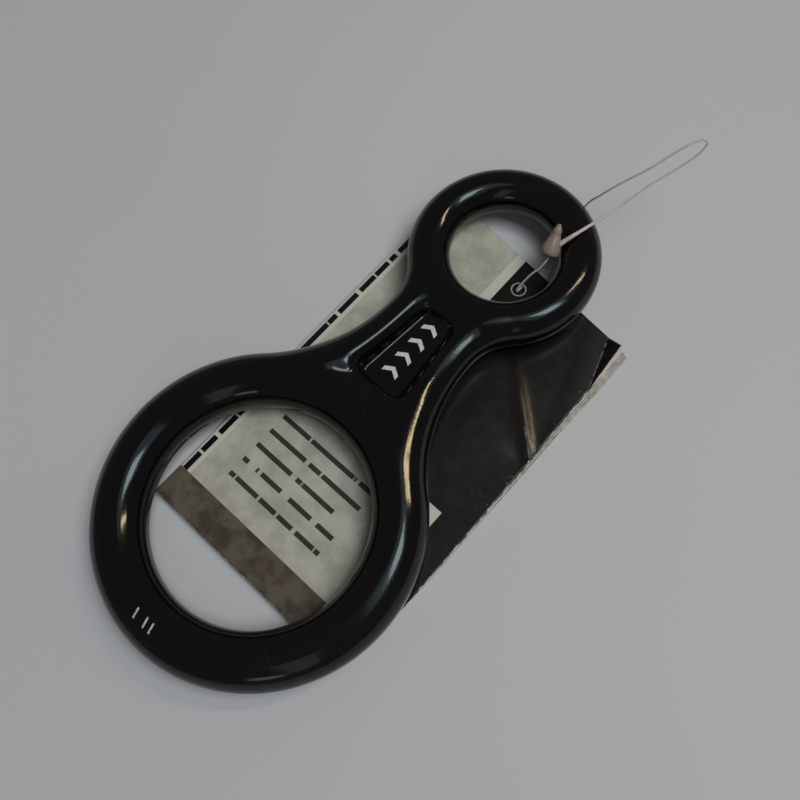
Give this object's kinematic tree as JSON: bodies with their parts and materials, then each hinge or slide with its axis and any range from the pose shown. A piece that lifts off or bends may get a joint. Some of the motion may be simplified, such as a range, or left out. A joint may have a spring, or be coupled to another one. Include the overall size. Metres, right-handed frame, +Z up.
{
  "type": "figure-eight belay device",
  "caption": "Forged figure-eight belay and abseil device with a big rope eye, a small harness eye and a ribbed neck, with a folded paper leaflet tied to the small eye by a locking nylon loop.",
  "frame": {"origin": "centre of the big rope eye, on the forging's mid-plane", "axes": "+Y along the neck towards the small eye, +Z up through the eyes, away from the surface that the leaflet lies on"},
  "size_m": [0.0768, 0.1674, 0.0282],
  "materials": {
    "anodised_aluminium": "gloss black anodised over a polished forging",
    "nylon": "milky moulded nylon",
    "printed_cover": "printed silk-coated cover paper, scuffed",
    "inner_paper": "plain white paper"
  },
  "bodies": {
    "descender": {"descender_body": "anodised_aluminium"},
    "tag_loop": {"loop_filament": "nylon", "lock_socket": "nylon", "lock_tip": "nylon"},
    "front_leaf": {"leaflet_front": "printed_cover"},
    "inner_leaf_a": {"leaflet_inner_a": "inner_paper"},
    "inner_leaf_b": {"leaflet_inner_b": "inner_paper"},
    "back_leaf": {"leaflet_back": "printed_cover"}
  },
  "joints": [
    {"name": "tag_swing", "type": "hinge", "parent": "descender", "child": "tag_loop", "pos_m": [0.01035, 0.10074, 0], "axis": [0.829, -0.5592, 0], "range_deg": [0, 90]},
    {"name": "card_swivel", "type": "hinge", "parent": "tag_loop", "child": "front_leaf", "pos_m": [0.0069, 0.0835, -0.00677], "axis": [0, 0, 1], "range_deg": [-60, 60]},
    {"name": "leaflet_open", "type": "hinge", "parent": "front_leaf", "child": "back_leaf", "pos_m": [-0.0251, 0.0406, -0.00765], "axis": [0, 1, 0], "range_deg": [0, 165]},
    {"name": "inner_a_fan", "type": "hinge", "parent": "front_leaf", "child": "inner_leaf_a", "pos_m": [-0.0229, 0.0406, -0.00797], "axis": [0, 1, 0], "range_deg": [0, 56]},
    {"name": "inner_b_fan", "type": "hinge", "parent": "front_leaf", "child": "inner_leaf_b", "pos_m": [-0.0229, 0.0406, -0.00797], "axis": [0, 1, 0], "range_deg": [0, 111]}
  ],
  "couplings": [
    {"joint": "inner_a_fan", "follows": "leaflet_open", "ratio": 0.33333},
    {"joint": "inner_b_fan", "follows": "leaflet_open", "ratio": 0.66667}
  ]
}
